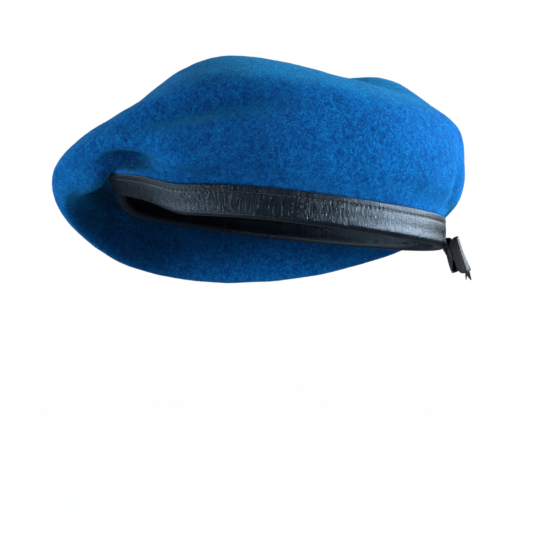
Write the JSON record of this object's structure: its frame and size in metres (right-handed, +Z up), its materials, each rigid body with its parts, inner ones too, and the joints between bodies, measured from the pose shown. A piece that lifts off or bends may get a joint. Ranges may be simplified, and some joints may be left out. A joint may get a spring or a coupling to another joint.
{
  "type": "beret",
  "caption": "Felted wool beret with a folded leather sweatband, lining, badge stiffener and a ribbon drawstring tied in a bow at the back, draped to the wearer's right side",
  "frame": {"origin": "middle of the head opening, level with the leather band's lower edge", "axes": "+Z up as worn on an upright head, -Y the wearer's front, +X the wearer's left"},
  "size_m": [0.2045, 0.2673, 0.1441],
  "materials": {
    "felt": "felted wool, short fibres",
    "leather": "soft black leather, satin",
    "thread": "spun polyester thread",
    "stiffener": "buckram, matt",
    "lining": "satin weave",
    "ribbon": "ribbed grosgrain"
  },
  "bodies": {
    "hat": {"felt_crown": "felt", "lining_top": "lining", "lining_side": "lining", "lining_seam_thread": "thread", "badge_stiffener": "stiffener", "leather_band": "leather", "stitch_needle_thread": "thread", "stitch_bobbin_thread": "thread", "draw_tape": "ribbon"},
    "bow": {"tape_knot": "ribbon", "bow_loop_left": "ribbon", "bow_loop_right": "ribbon", "tape_lead_left": "ribbon", "tape_lead_right": "ribbon"},
    "tail_left": {"tape_tail_left": "ribbon"},
    "tail_right": {"tape_tail_right": "ribbon"}
  },
  "joints": [
    {"name": "tape_pull", "type": "slide", "parent": "hat", "child": "bow", "axis": [0, 1, 0], "range_m": [0, 0.012], "deforming": ["tape_lead_left", "tape_lead_right"]},
    {"name": "tail_left_swing", "type": "hinge", "parent": "bow", "child": "tail_left", "pos_m": [0, 0.11548, -0.01565], "axis": [1, 0, 0], "range_deg": [0, 60]},
    {"name": "tail_right_swing", "type": "hinge", "parent": "bow", "child": "tail_right", "pos_m": [0, 0.11548, -0.01565], "axis": [1, 0, 0], "range_deg": [0, 60]}
  ]
}
